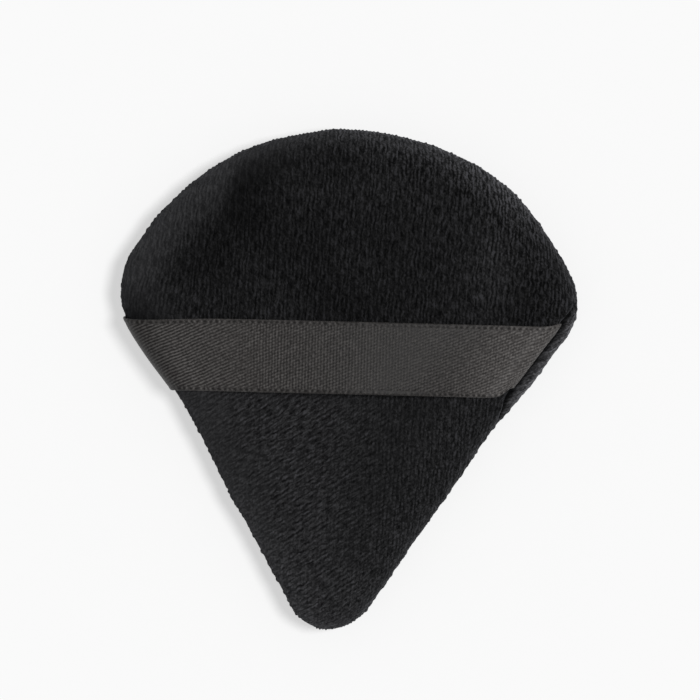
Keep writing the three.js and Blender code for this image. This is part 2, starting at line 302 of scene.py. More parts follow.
def make_section():
    """Runs from the widest line, plus to the front and minus to the back, with their insets and heights."""
    inset = PAD_DEPTH * np.linspace(0, 1, SECTION_STEPS + 1) ** 2
    halves = []
    for height in (top_height(inset), base_height(inset)):
        steps = np.hypot(np.diff(inset), np.diff(height))
        halves.append((np.concatenate([[0], np.cumsum(steps)]), height))
    (top_run, top), (base_run, base) = halves
    distance = np.concatenate([-base_run[:0:-1], top_run])
    insets = np.concatenate([inset[:0:-1], inset])
    return distance, insets, np.concatenate([base[:0:-1], top])


SECTION_RUN, SECTION_INSET, SECTION_HEIGHT = make_section()
# Run from the widest line to the pad's middle, for the front panel (side 1) and the back panel (side -1).
RUN_TO_MIDDLE = {1: SECTION_RUN[-1], -1: -SECTION_RUN[0]}


def section(distance):
    inset = np.interp(distance, SECTION_RUN, SECTION_INSET)
    return np.stack([inset, np.interp(distance, SECTION_RUN, SECTION_HEIGHT)], -1)


def section_frame(distance):
    """Point of the section, its direction towards the front, and the direction into the pad."""
    step = 0.05 * MM
    forward = unit(section(distance + step) - section(distance - step))
    inward = np.stack([forward[..., 1], -forward[..., 0]], -1)
    return section(distance), forward, inward


def below(distance, depth):
    point, _, inward = section_frame(distance)
    return point + inward * np.asarray(depth)[..., None]


# Strap directions in plan, and the runs where its middle line meets the two sides of the pad.
STRAP_ALONG = np.array([math.cos(STRAP_SKEW), math.sin(STRAP_SKEW)])
STRAP_ACROSS = np.array([-math.sin(STRAP_SKEW), math.cos(STRAP_SKEW)])
STRAP_CENTRE = np.array([0, STRAP_Y])
STRAP_HALF_GAP = STRAP_THICKNESS / 2 + STRAP_CLEARANCE
STRAP_REACH = STRAP_WIDTH / 2 / math.cos(TAPER_ANGLE)
ON_RIGHT = RUN < PERIMETER / 2


def strap_end_run(on_side):
    across = np.abs((EDGE - STRAP_CENTRE) @ STRAP_ACROSS)
    return RUN[np.argmin(np.where(on_side, across, 1))]


def near_strap_end(end):
    return 1 - smoothstep(np.abs(RUN - end), STRAP_REACH, STRAP_REACH + ROLL_FADE)


at_right = near_strap_end(strap_end_run(ON_RIGHT))
at_left = near_strap_end(strap_end_run(~ON_RIGHT))
ROLL = RIGHT_ROLL * at_right + LEFT_ROLL * at_left
HALF_GAP = lerp(SEAM_GAP / 2, STRAP_HALF_GAP, at_right + at_left)


def seam_place(near, depth, offset):
    """A place in the seam: depth under the surface, and offset from the seam's middle towards the front."""
    point, forward, inward = section_frame(ROLL[near])
    return point + inward * np.asarray(depth)[..., None] + forward * np.asarray(offset)[..., None]


def place(near, spot):
    """Plan and height of spots of the section at outline samples; deep insets run to the pad's middle."""
    inset = spot[..., 0]
    outward = EDGE[near] / REACH[near][..., None]
    slant = 1 / (outward * OUTWARD[near]).sum(-1)
    scale = lerp(slant, REACH[near] / PAD_DEPTH, smoothstep(inset / PAD_DEPTH, 0, 0.6))
    plan = outward * (REACH[near] - inset * scale)[..., None]
    return np.concatenate([plan, spot[..., 1:]], -1)


# Hand-sewn unevenness: centre, reach and shift of each bump in the plan, in millimetres.
PLAN_BUMPS = [
    ((18, -18), 7, (0.61, -0.39)),
    ((-18, -19), 7, (-0.62, -0.4)),
    ((-34, 22), 8, (0.49, -0.3)),
    ((-35, 7), 6, (-1.14, -0.54)),
    ((24, 34), 8, (0.36, 0.52)),
    ((37.5, 14), 5, (0.51, 0)),
    ((0, -40), 9, (0, -0.56)),
    ((9, -32), 5, (0.5, 0)),
    ((30, 0), 6, (0.19, -0.12)),
    ((-30.5, 0.6), 3, (-0.2, -0.1)),
    ((-4.4, 41.3), 1.3, (0, 0.2)),
]
pad_low, pad_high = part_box("back_panel")
PAD_SHIFT_Y = (pad_low.y + pad_high.y) / 2


def settle(points):
    """Moves points of the pad's own plan into the row frame, with the unevenness of the sewing."""
    moved = np.array(points, float)
    for centre, reach, shift in PLAN_BUMPS:
        away = np.linalg.norm(points[:, :2] - np.array(centre) * MM, axis=1) / (reach * MM)
        moved[:, :2] += np.array(shift) * MM * np.exp(-(away**2) / 2)[:, None]
    moved[:, 1] += PAD_SHIFT_Y
    return moved


def blurred(field, sigmas):
    """Gaussian blur of a grid, with one sigma for each of its axes, in grid steps."""
    sigma_x, sigma_y = sigmas
    wave_x = np.fft.fftfreq(field.shape[0])[:, None]
    wave_y = np.fft.rfftfreq(field.shape[1])[None, :]
    keep = np.exp(-2 * (math.pi * sigma_x * wave_x) ** 2 - 2 * (math.pi * sigma_y * wave_y) ** 2)
    return np.fft.irfft2(np.fft.rfft2(field) * keep, s=field.shape)


def smooth_noise(shape, sigmas, seed):
    """Soft random values for a grid, with mean 0 and deviation 1."""
    field = blurred(np.random.RandomState(seed).standard_normal(shape), sigmas)
    return ((field - field.mean()) / field.std()).ravel()


def vertex_normals(points, triangles):
    a, b, c = (points[triangles[:, corner]] for corner in range(3))
    face = np.cross(b - a, c - a)
    total = np.zeros_like(points)
    for corner in range(3):
        np.add.at(total, triangles[:, corner], face)
    return total / np.maximum(np.linalg.norm(total, axis=1, keepdims=True), 1e-20)


def boundary_loop(triangles):
    """Vertices of the open edge of a sheet, in the order of the faces that touch it."""
    edges = np.concatenate([triangles[:, [0, 1]], triangles[:, [1, 2]], triangles[:, [2, 0]]])
    known = set(map(tuple, edges.tolist()))
    after = {a: b for a, b in known if (b, a) not in known}
    loop = [min(after)]
    while after[loop[-1]] != loop[0]:
        loop.append(after[loop[-1]])
    return np.array(loop)


def ring_faces(first, second):
    """Triangles between two rings of the same length."""
    first_next, second_next = np.roll(first, -1), np.roll(second, -1)
    one = np.stack([first_next, first, second], 1)
    two = np.stack([first_next, second, second_next], 1)
    return np.concatenate([one, two])


def cap_faces(ring, centre):
    """Triangles between a ring and one point."""
    return np.stack([np.roll(ring, -1), ring, np.full(len(ring), centre)], 1)


def make_object(name, points, faces, material, attributes):
    """A smooth-shaded mesh object with one material and values at its points for that material to read."""
    mesh = bpy.data.meshes.new(name)
    mesh.from_pydata(points.tolist(), [], np.asarray(faces).tolist())
    mesh.polygons.foreach_set("use_smooth", [True] * len(mesh.polygons))
    for key, values in attributes.items():
        kind, field = ("FLOAT_VECTOR", "vector") if values.ndim == 2 else ("FLOAT", "value")
        mesh.attributes.new(key, kind, "POINT").data.foreach_set(field, values.astype(np.float32).ravel())
    mesh.materials.append(material)
    mesh.update()
    piece = bpy.data.objects.new(name, mesh)
    bpy.context.collection.objects.link(piece)
    return piece


def nap_lean(plan):
    """0 where the pile lies along the wales, 1 where it is brushed aside into slanting rows."""
    x, y = plan.T / MM
    lower = smoothstep(-y, -4, 6)
    leftward = smoothstep(-x, -16, 6)
    return lower * lerp(0.35, 1, leftward)


# Patches of painted sheen and shade, where the brushed pile looks lighter or darker: centre and reach in plan
# millimetres, and change.
PAINTED_PILE_SHEEN_PATCHES = [
    ((23, 21), (3, 9), 0.5),
    ((-17, 17), (8, 10), -0.15),
    ((-20, -5), (9, 4), 0.25),
    ((0, -34), (7, 6), 0.15),
    ((-1, -13), (6, 7), -0.12),
    ((27, 14), (7, 4), -0.2),
    ((-35.5, 9), (2.5, 2.5), -0.7),
]


def nap_contrast(plan, inset):
    """How clearly the single loops show: least in the brushed bands on the left, most along the right, where
    the raised contrast is painted highlight on loops that catch the key light.
    """
    x, y = plan.T / MM
    band = 1 - smoothstep(inset, 3 * MM, 11 * MM)
    above = smoothstep(y, 6, 12)
    brushed = smoothstep(-x, 2, 20) * lerp(0.4, 0.55, above)
    return lerp(0.92, 1, above) + band * (0.45 * smoothstep(x, -4, 16) - brushed)


def painted_pile_sheen_and_tone(plan, inset, soft):
    """How light the brushed pile looks at each plan point: painted sheen and shade from how the pile lies to
    the light, with a little random tone.
    """
    x, y = plan.T / MM
    # Painted sheen: the pile below the strap lies another way to the light and is painted lighter, most of
    # all on the left.
    lower = smoothstep(-y, -8, 0)
    painted_light_and_tone = 0.83 + lower * lerp(0.26, 1.0, smoothstep(-x, -14, 8))
    for (centre_x, centre_y), (reach_x, reach_y), change in PAINTED_PILE_SHEEN_PATCHES:
        away = ((x - centre_x) / reach_x) ** 2 + ((y - centre_y) / reach_y) ** 2
        painted_light_and_tone += change * np.exp(-away / 2)
    # Painted sheen along the fan's edge, where the pile opens outwards and shows its lighter sides to the
    # light:
    # in a broad band on the left, in a narrow one along the top, and on the right only down to the corner.
    broad = smoothstep(-x, 18.5, 23)
    reach = lerp(lerp(5.5, 7, smoothstep(x, -8, 4)), 10, broad)
    rim = 1 - smoothstep(inset / MM, lerp(-1, 0.5, broad), reach)
    right = lerp(0.3, 1.8, smoothstep(y, 20, 33))
    painted_light_and_tone += rim * smoothstep(y, 6, 16) * lerp(lerp(1.4, 2.2, broad), right, smoothstep(x, 10, 20))
    # A narrow band of painted sheen also runs down the lower left side and round the tip.
    side_band = smoothstep(-x, -8, 4) * lerp(0.4, 1.2, smoothstep(-y, 8, 28))
    painted_light_and_tone += lower * side_band * (1 - smoothstep(inset / MM, -1, 7))
    # A little random tone of the pile's own.
    painted_light_and_tone += 0.1 * soft
    return np.maximum(painted_light_and_tone, 0.4)


def panel_spill(side):
    """How much further the flat panel reaches than its plan, because it goes over the edge of the pad."""
    return RUN_TO_MIDDLE[side] - PAD_DEPTH


def panel_lattice(side, steps):
    """A grid of flat points that covers one panel: its shape, columns, rows and flat places."""
    reach = PAD_LENGTH / 2 + panel_spill(side) + FOLD_RUN + TUCK + 2 * COURSE
    last = [math.ceil(reach / step) for step in steps]
    columns, rows = (np.arange(-number, number + 1) for number in last)
    column, row = (grid.ravel() for grid in np.meshgrid(columns, rows, indexing="ij"))
    return (len(columns), len(rows)), column, row, np.stack([column, row], 1) * steps


def drape(side, shape, flat, steps):
    """Lays a flat panel over the pad and into the seam.

    Gives the points, their outline samples, insets and runs into the seam, and which are on the panel.
    """
    near, inset = nearest_edge(flat)
    # Where each flat point lies on the section: on the face, in the fold or tucked into the seam.
    distance = side * (inset + panel_spill(side))
    gap = HALF_GAP[near]
    turned = FOLD_RADIUS + gap - side * (distance - ROLL[near])
    inside = (turned <= FOLD_RUN + TUCK).reshape(shape)
    run_in = np.clip(turned, 0, FOLD_RUN + TUCK)
    angle = np.minimum(run_in / FOLD_RADIUS, math.pi / 2)
    depth = FOLD_RADIUS * (1 - np.cos(angle)) + np.maximum(run_in - FOLD_RUN, 0)
    offset = gap + FOLD_RADIUS * (1 - np.sin(angle))
    start = gap + FOLD_RADIUS
    bend = section(ROLL[near] + side * start) - seam_place(near, 0, side * start)
    in_fold = seam_place(near, depth, side * offset) + bend * (1 - angle / (math.pi / 2))[:, None]
    spot = np.where((run_in > 0)[:, None], in_fold, section(distance))
    plan = flat + OUTWARD[near] * (inset - spot[:, 0])[:, None]
    # The crown runs smoothly over the middle line of the narrow tip.
    level = spot[:, 1].reshape(shape)
    soft_level = blurred(level * inside, CROWN_BLUR / steps)
    soft_level /= np.maximum(blurred(inside.astype(float), CROWN_BLUR / steps), 1e-6)
    height = lerp(spot[:, 1], soft_level.ravel(), smoothstep(inset, 3 * MM, 7 * MM))
    return np.column_stack([plan, height]), near, inset, turned, inside


def grid_cells(index):
    """The four corners of each cell of a grid, in order round the cell."""
    corners = (index[:-1, :-1], index[1:, :-1], index[1:, 1:], index[:-1, 1:])
    return np.stack([corner.ravel() for corner in corners], 1)


def sheet_triangles(side, inside):
    """Triangles of a lattice that touch the panel."""
    cells = grid_cells(np.arange(inside.size).reshape(inside.shape))
    triangles = np.concatenate([cells[:, [0, 1, 2]], cells[:, [0, 2, 3]]])
    if side < 0:
        triangles = triangles[:, ::-1]
    return triangles[inside.ravel()[triangles].any(1)]


def compact(triangles, count):
    """The vertices that a set of triangles uses, and the triangles over those alone."""
    used = np.unique(triangles)
    index = np.full(count, -1)
    index[used] = np.arange(len(used))
    return used, index[triangles]


def cloth_sheet(side):
    """A coarse copy of one panel: lattice shape, used points, places, triangles and the held points."""
    steps = np.full(2, CLOTH_STEP)
    shape, _, _, flat = panel_lattice(side, steps)
    points, _, inset, turned, inside = drape(side, shape, flat, steps)
    used, triangles = compact(sheet_triangles(side, inside), len(points))
    places = points[used]
    across = np.abs((places[:, :2] - STRAP_CENTRE) @ STRAP_ACROSS)
    under_strap = (across < STRAP_WIDTH / 2 + CLOTH_STEP) & (inset[used] < STRAP_HUG_INSET + CLOTH_STEP)
    under_strap &= side > 0
    on_table = places[:, 2] < CLOTH_REST
    return shape, used, places, triangles, (turned[used] > 0) | under_strap | on_table


def cloth_pass(material):
    """Swells both panels with Cloth and gives a grid of moves for each.

    They are held in the seam, under the strap and on the table.
    """
    sheets = {side: cloth_sheet(side) for side in (1, -1)}
    split = len(sheets[1][1])
    start = np.concatenate([sheet[2] for sheet in sheets.values()])
    triangles = np.concatenate([sheets[1][3], sheets[-1][3] + split])
    held = np.concatenate([sheet[4] for sheet in sheets.values()])
    uneven = CLOTH_UNEVENNESS * np.random.RandomState(51).standard_normal((len(start), 1))
    start = start + vertex_normals(start, triangles) * uneven
    cover = make_object("cloth_pass", start, triangles, material, {})
    pins = cover.vertex_groups.new(name="held")
    pins.add(np.flatnonzero(held).tolist(), 1.0, "REPLACE")
    settings = cover.modifiers.new("Cloth", "CLOTH").settings
    settings.vertex_group_mass = pins.name
    settings.use_pressure = True
    settings.uniform_pressure_force = CLOTH_PRESSURE
    settings.shrink_min = -CLOTH_SLACK
    settings.effector_weights.gravity = 0
    for number in range(1, CLOTH_FRAMES + 1):
        bpy.context.scene.frame_set(number)
    settled = cover.evaluated_get(bpy.context.evaluated_depsgraph_get())
    result = np.empty(start.size, np.float32)
    settled.data.vertices.foreach_get("co", result)
    bpy.context.scene.frame_set(1)
    bpy.data.objects.remove(cover)
    moves = result.reshape(-1, 3) - start
    length = np.linalg.norm(moves, axis=1, keepdims=True)
    moves *= np.minimum(1, SWELL_CAP / np.maximum(length, 1e-9))
    moves[held] = 0
    grids = {}
    for side, part in ((1, moves[:split]), (-1, moves[split:])):
        shape, used = sheets[side][:2]
        grid = np.zeros((shape[0] * shape[1], 3))
        grid[used] = part
        axes = [blurred(axis.reshape(shape), (1, 1)) for axis in grid.T]
        grids[side] = np.stack(axes, -1)
    return grids


def spread(grid, flat):
    """Values of a coarse grid at flat points."""
    spot = flat / CLOTH_STEP + (np.array(grid.shape[:2]) - 1) / 2
    low = np.clip(np.floor(spot).astype(int), 0, np.array(grid.shape[:2]) - 2)
    share_x, share_y = np.clip(spot - low, 0, 1).T[..., None]
    x, y = low.T
    first = lerp(grid[x, y], grid[x + 1, y], share_x)
    second = lerp(grid[x, y + 1], grid[x + 1, y + 1], share_x)
    return lerp(first, second, share_y)


def pile_loops(side, column, row):
    """The pile at lattice points: which stand on a ridge, how tall their loop is, and how high they stand."""
    wale = column // COLUMNS_PER_WALE
    course = row / ROWS_PER_COURSE + wale / 2
    random = np.random.RandomState(11 if side > 0 else 12)
    loop_heights = random.uniform(LOWEST_LOOP, TALLEST_LOOP, (LOOP_TABLE, LOOP_TABLE))
    loop = loop_heights[wale % LOOP_TABLE, np.floor(course + 0.5).astype(int) % LOOP_TABLE]
    ridge = np.where(column % COLUMNS_PER_WALE == 0, 1, 0)
    pile = ridge * (0.4 + 0.6 * np.cos(math.pi * (course - np.round(course))) ** 2) * loop
    return ridge, loop, pile


def painted_cover_light_and_tone(side, plan, inset, turned, lip, soft):
    """How light one panel looks: the pile's painted sheen, painted shade and highlight on its rolled lip, a
    painted highlight on its outermost pile and painted shade in its dark seam.
    """
    painted_light_and_tone = painted_pile_sheen_and_tone(plan, inset, soft)
    # Painted light on the rolled lip: shade by the seam, lightening to a highlight at its outer edge, where
    # the roll faces the key light.
    to_seam = turned / LIP_SHADE
    lip_painted_light = lerp(LIP_EDGE_HIGHLIGHT, LIP_SEAM_SHADE, smoothstep(to_seam, -1, 1))
    painted_light_and_tone += lip_painted_light * lip * smoothstep(to_seam, -3.4, -1.8)
    # Painted highlight: the outermost pile stands against the light, most of all on the lit right side.
    lit_fringe = 1 - smoothstep(inset + panel_spill(side), 1 * MM, 4 * MM)
    painted_light_and_tone += FRINGE_HIGHLIGHT * lit_fringe * smoothstep(plan[:, 0], -25 * MM, 15 * MM)
    # Painted shade in the seam, where the velour turns in out of the light.
    painted_light_and_tone = np.maximum(painted_light_and_tone, SEAM_SHADE)
    return lerp(painted_light_and_tone, SEAM_SHADE, smoothstep(turned, 0.3 * FOLD_RUN, FOLD_RUN))


def lining_spots(side, station):
    """Rings of section spots that close a panel: its tucked edge, raw edge and inner face."""
    gap = HALF_GAP[station]
    full = FOLD_RADIUS + SEAM_ALLOWANCE
    raw_side = side * (gap + VELOUR_THICKNESS)
    start = ROLL[station] + side * (gap + VELOUR_THICKNESS + 1 * MM)
    spots = [
        seam_place(station, full, side * gap),
        seam_place(station, full, raw_side),
        seam_place(station, VELOUR_THICKNESS + 0.4 * MM, raw_side),
    ]
    for share in (0, 1 / 3, 2 / 3):
        spots.append(below(lerp(start, side * FACE_START, share), VELOUR_THICKNESS))
    for share in (0, 0.3, 0.6, 0.9):
        run = side * lerp(FACE_START, RUN_TO_MIDDLE[side], share)
        spots.append(below(np.full(len(station), run), VELOUR_THICKNESS))
    return spots


def close_panel(side, points, near, triangles):
    """Adds the lining to a sheet: all points and faces, the sheet's open edge and the number of rings."""
    loop = boundary_loop(triangles)
    station = near[loop]
    spots = lining_spots(side, station)
    all_points = [points]
    faces = [triangles]
    total = len(points)
    ring = loop
    for spot in spots:
        inner = total + np.arange(len(loop))
        all_points.append(place(station, spot))
        faces.append(ring_faces(ring, inner))
        ring = inner
        total += len(loop)
    middle = below(side * RUN_TO_MIDDLE[side], VELOUR_THICKNESS)[1]
    all_points.append(np.array([[0, 0, middle]]))
    faces.append(cap_faces(ring, total))
    return np.concatenate(all_points), np.concatenate(faces), loop, len(spots)


def velour_cover(side, swell, material, name):
    """One panel: a sheet with every loop of the pile, laid over the pad, swelled and tucked into the seam."""
    steps = np.array([WALE / COLUMNS_PER_WALE, COURSE / ROWS_PER_COURSE])
    shape, column, row, flat = panel_lattice(side, steps)
    points, near, inset, turned, inside = drape(side, shape, flat, steps)
    free = smoothstep(-turned, 0, SWELL_START)
    for axis, move in enumerate(spread(swell, flat).T):
        points[:, axis] += free * blurred(move.reshape(shape), CLOTH_STEP / 2 / steps).ravel()
    plan, height = points[:, :2].copy(), points[:, 2].copy()
    triangles = sheet_triangles(side, inside)

    ridge, loop, pile = pile_loops(side, column, row)
    soft = smooth_noise(shape, SOFT_SPREAD / steps, 21 + side)
    clumps = smooth_noise(shape, CLUMP_SPREAD / steps, 31 + side)
    normals = vertex_normals(points, triangles)
    lip = at_right[near] * (1 - smoothstep(inset, 6 * MM, 12 * MM)) * (side < 0)
    # Along the silhouette the pile is pressed flatter, and a few loops stand out as stray pile.
    upright = smoothstep(np.abs(normals[:, 2]), 0.3, 0.7)
    relief = PILE_HEIGHT * (pile - 0.5) * (1 - 0.5 * lip) * lerp(0.55, 1, upright)
    relief += CLUMP_RELIEF * clumps + SOFT_RELIEF * soft
    relief += STRAY_PILE * ridge * (loop / TALLEST_LOOP) ** 3 * (1 - upright)
    relief *= 1 - smoothstep(turned, 0, FOLD_RUN)
    if side < 0:
        # Where the pad rests on the table, no loop reaches through it.
        resting = 1 - smoothstep(height, 0.05 * MM, 1 * MM)
        relief -= resting * np.maximum(relief, 0)
    points += normals * relief[:, None]
    points[:, 2] = np.maximum(points[:, 2], 0)

    used, triangles = compact(triangles, len(points))
    # The panel's painted sheen, highlights and shade, with a little random tone, for the material to read.
    painted_light_and_tone = painted_cover_light_and_tone(side, plan[used], inset[used], turned[used], lip[used], soft[used])
    contrast = nap_contrast(plan[used], inset[used]) * (1 - 0.3 * lip[used])
    cloth = np.column_stack([flat[used] / [WALE, COURSE], nap_lean(plan[used])])
    points, faces, edge, rings = close_panel(side, points[used], near[used], triangles)
    added = len(points) - len(used)
    attributes = {
        "cloth": np.concatenate([cloth, np.tile(cloth[edge], (rings, 1)), [[0, 0, 0]]]),
        # The lining inside the seam is painted in the seam's shade.
        "painted_light_and_tone": np.concatenate([painted_light_and_tone, np.full(added, SEAM_SHADE)]),
        "contrast": np.concatenate([contrast, np.ones(added)]),
    }
    return make_object(name, settle(points), faces, material, attributes)


def sponge(material):
    """The foam that fills the cover up to the turned-in edges."""
    depth = VELOUR_THICKNESS + FIT_CLEARANCE
    station = np.arange(0, len(RUN), SPONGE_STRIDE)
    full = FOLD_RADIUS + SEAM_ALLOWANCE
    gap = HALF_GAP[station] + VELOUR_THICKNESS
    rim = np.maximum(*[seam_place(station, full, offset)[:, 0] for offset in (gap, -gap)]) + FIT_CLEARANCE
    walk = np.linspace(1 * MM, FACE_START, 400)
    spots = []
    middles = []
    for side, end in RUN_TO_MIDDLE.items():
        start = np.interp(rim, below(side * walk, depth)[:, 0], walk)
        face = []
        for share in np.linspace(0, 1, SPONGE_RINGS):
            face.append(below(side * lerp(start, 0.98 * end, share), depth))
        spots.extend(face[::-1] if side > 0 else face)
        middles.append([[0, 0, below(side * end, depth)[1]]])
    rings = [1 + len(station) * number + np.arange(len(station)) for number in range(len(spots))]
    faces = [cap_faces(rings[0], 0)[:, ::-1]]
    for upper, lower in zip(rings, rings[1:]):
        faces.append(ring_faces(upper, lower))
    faces.append(cap_faces(rings[-1], 1 + len(station) * len(spots)))
    points = np.concatenate([middles[0], *[place(station, spot) for spot in spots], middles[1]])
    return make_object("sponge_core", settle(points), np.concatenate(faces), material, {})


def pad_top(plan):
    return top_height(nearest_edge(plan)[1])


def strap_crossing(on_right, spot, row_places):
    """Where the ribbon's rows cross the line that these spots of the section draw along the pad's edge."""
    keep = ON_RIGHT if on_right else ~ON_RIGHT
    plan = (EDGE - OUTWARD * spot[:, :1])[keep]
    reached = (plan - STRAP_CENTRE) @ STRAP_ACROSS
    order = np.argsort(reached)
    columns = (plan[:, 0], plan[:, 1], spot[keep, 1])
    return np.stack([np.interp(row_places, reached[order], values[order]) for values in columns], 1)


def strap_end(on_right, across):
    """The ribbon's rows from one tail in the seam, round the seam's mouth and up the edge of the pad."""
    everywhere = np.arange(len(RUN))
    bend = FOLD_RADIUS + STRAP_HALF_GAP
    rise_start = ROLL + bend
    hug = np.interp(STRAP_HUG_INSET, SECTION_INSET[SECTION_RUN >= 0], SECTION_RUN[SECTION_RUN >= 0])
    mouth = below(rise_start, -STRAP_HALF_GAP) - seam_place(everywhere, -STRAP_HALF_GAP, bend)
    # The lower right corner is drawn up into the seam, and both upper corners flare a little.
    shift = CORNER_FLARE * smoothstep(across, 3 * MM, STRAP_WIDTH / 2)
    if on_right:
        shift = shift + CORNER_DRAW * smoothstep(-across, 0, STRAP_WIDTH / 2)
    rows = []
    for share in np.linspace(0, 1, TAIL_STEPS):
        spot = seam_place(everywhere, FOLD_RADIUS + STRAP_TAIL * (1 - share), 0)
        rows.append(strap_crossing(on_right, spot, across + shift))
    for turn in np.linspace(0, math.pi / 2, MOUTH_STEPS)[1:]:
        depth = FOLD_RADIUS - bend * math.sin(turn)
        offset = bend * (1 - math.cos(turn))
        spot = seam_place(everywhere, depth, offset) + mouth * (turn / (math.pi / 2))
        rows.append(strap_crossing(on_right, spot, across + shift))
    for share in np.linspace(0, 1, EDGE_STEPS)[1:]:
        loop = STRAP_EDGE_LOOP * (hug - rise_start) * math.sin(math.pi * share) ** 2
        spot = below(lerp(rise_start, hug, share), -STRAP_HALF_GAP - loop)
        rows.append(strap_crossing(on_right, spot, across + shift * math.exp(-share / CORNER_FADE)))
    return np.stack(rows)


def strap_rows(across):
    """Middle lines of the ribbon's rows, from the right tail to the left tail: steps, rows, xyz."""
    right = strap_end(True, across)
    left = strap_end(False, across)[::-1]
    first, last = right[-1], left[0]
    lift = [ends[:, 2] - pad_top(ends[:, :2]) for ends in (first, last)]
    bow = []
    for share in np.linspace(0, 1, BOW_STEPS)[1:-1]:
        points = lerp(first, last, share)
        rise = FINGER_GAP * (1 - (2 * share - 1) ** 2) ** BOW_POWER
        points[:, 2] = pad_top(points[:, :2]) + lerp(lift[0], lift[1], share) + rise
        bow.append(points)
    return np.concatenate([right, np.stack(bow), left])


def even_steps(rows, step):
    """The rows resampled to even steps along their length, and smoothed by a few steps."""
    lengths = run_along(rows)
    count = round(lengths[-1].mean() / step)
    lines = []
    for row, line in enumerate(lengths.T):
        stops = np.linspace(0, line[-1], count + 1)
        lines.append(np.stack([np.interp(stops, line, rows[:, row, axis]) for axis in range(3)], 1))
    even = np.stack(lines, 1)
    reach = SMOOTHING_REACH
    weights = np.exp(-(np.arange(-reach, reach + 1) ** 2) / (2 * SMOOTHING_SPREAD**2))
    weights /= weights.sum()
    padded = np.pad(even, [(reach, reach), (0, 0), (0, 0)], "edge")
    return sum(weight * padded[shift : shift + len(even)] for shift, weight in enumerate(weights))


def ribbon(material):
    """The satin strap with its weave and selvedges, and its flat length."""
    along_step = WEAVE_COLUMN / 3
    across_step = WEAVE_ROW / 4
    row_count = round(STRAP_WIDTH / across_step) + 1
    across = np.linspace(-0.5, 0.5, row_count) * STRAP_WIDTH
    middle = even_steps(strap_rows(across), along_step)
    steps = len(middle)
    up = unit(np.cross(np.gradient(middle, axis=0), np.gradient(middle, axis=1)))
    up *= np.sign(up[steps // 2, row_count // 2, 2])

    # The weave lies straight along the ribbon, so each row is measured from the ribbon's middle.
    run = run_along(middle)
    passed = (STRAP_CENTRE - middle[..., :2]) @ STRAP_ALONG
    run -= [np.interp(0, passed[:, row], run[:, row]) for row in range(row_count)]
    side = np.ones(steps)[:, None] * across
    from_edge = STRAP_WIDTH / 2 - np.abs(side)
    column, line = run / WEAVE_COLUMN, side / WEAVE_ROW
    weave = 0.5 * np.cos(2 * np.pi * column) + 0.5 * np.cos(2 * np.pi * (line + SATIN_SHIFT * column))
    bead = np.cos(2 * np.pi * run / SELVEDGE_BEAD)
    at_selvedge = 1 - smoothstep(from_edge, 0.6 * SELVEDGE, SELVEDGE)
    relief = WEAVE_RELIEF * weave * (1 - at_selvedge) + BEAD_RELIEF * bead * at_selvedge
    groove = np.exp(-(((from_edge - SELVEDGE) / GROOVE_WIDTH) ** 2))
    relief -= GROOVE_DEPTH * groove
    rounded = np.sqrt(np.clip(1 - (1 - np.clip(from_edge / RIBBON_ROUND, 0, 1)) ** 2, 0, 1))
    half = (STRAP_THICKNESS / 2) * lerp(0.25, 1, rounded)
    front = middle + up * (half + relief)[..., None]
    back = middle - up * (half + relief)[..., None]

    index = np.arange(steps * row_count).reshape(steps, row_count)
    top = grid_cells(index)[:, [0, 3, 2, 1]]
    under = top[:, ::-1] + index.size
    rim = np.concatenate([index[:-1, 0], index[-1, :-1], index[:0:-1, -1], index[0, :0:-1]])
    beside = np.roll(rim, -1)
    edge = np.stack([rim, beside, beside + index.size, rim + index.size], 1)
    points = np.concatenate([front.reshape(-1, 3), back.reshape(-1, 3)])
    weave_place = np.stack([column.ravel(), line.ravel(), from_edge.ravel() / MM], 1)
    # The slanting floats show most towards the ends, where the ribbon turns down.
    share = np.linspace(0, 1, steps)[:, None] * np.ones(row_count)
    slant = 0.47 + 0.16 * (1 - smoothstep(share, 0.2, 0.45)) + 0.76 * smoothstep(share, 0.6, 0.85)
    # Painted highlight and shade along the satin, in place of how it catches the key light.
    painted_light_and_tone = blurred(np.interp(share, *zip(*SATIN_PAINTED_LIGHT)), (0.015 * steps, 0))
    faces = np.concatenate([top, under, edge])
    attributes = {
        "weave": np.tile(weave_place, (2, 1)),
        "slant": np.tile(slant.ravel(), 2),
        "painted_light_and_tone": np.tile(painted_light_and_tone.ravel(), 2),
    }
    piece = make_object("ribbon_strap", settle(points), faces, material, attributes)
    return piece, (steps - 1) * along_step


def thread(name, path, material):
    """A two-ply sewing thread along a path."""
    along = unit(np.gradient(path, axis=0))
    sideways = unit(np.cross(along, [0, 0, 1]))
    up = np.cross(sideways, along)
    run = run_along(path)
    angle = np.arange(THREAD_SIDES) * 2 * math.pi / THREAD_SIDES
    swirl = np.cos(2 * (angle[None, :] - math.pi * run[:, None] / THREAD_TWIST))
    radius = THREAD_DIAMETER / 2 * (0.86 + 0.14 * swirl)
    round_sideways = np.cos(angle)[:, None] * sideways[:, None]
    round_up = np.sin(angle)[:, None] * up[:, None]
    rings = path[:, None] + radius[..., None] * (round_sideways + round_up)
    points = np.concatenate([rings.reshape(-1, 3), path[:1], path[-1:]])
    index = np.arange(len(path) * THREAD_SIDES).reshape(-1, THREAD_SIDES)
    faces = [ring_faces(first, second) for first, second in zip(index, index[1:])]
    faces.append(cap_faces(index[0], index.size)[:, ::-1])
    faces.append(cap_faces(index[-1], index.size + 1))
    ply = np.concatenate([swirl.ravel(), [0, 0]])
    return make_object(name, settle(points), np.concatenate(faces), material, {"ply": ply})


def at_run(run):
    """Outline samples at these runs round the pad."""
    return np.searchsorted(RUN, np.mod(run, PERIMETER), side="right") - 1


CLOSING_START = PERIMETER / 2 - CLOSING_SHIFT - CLOSING_LENGTH / 2


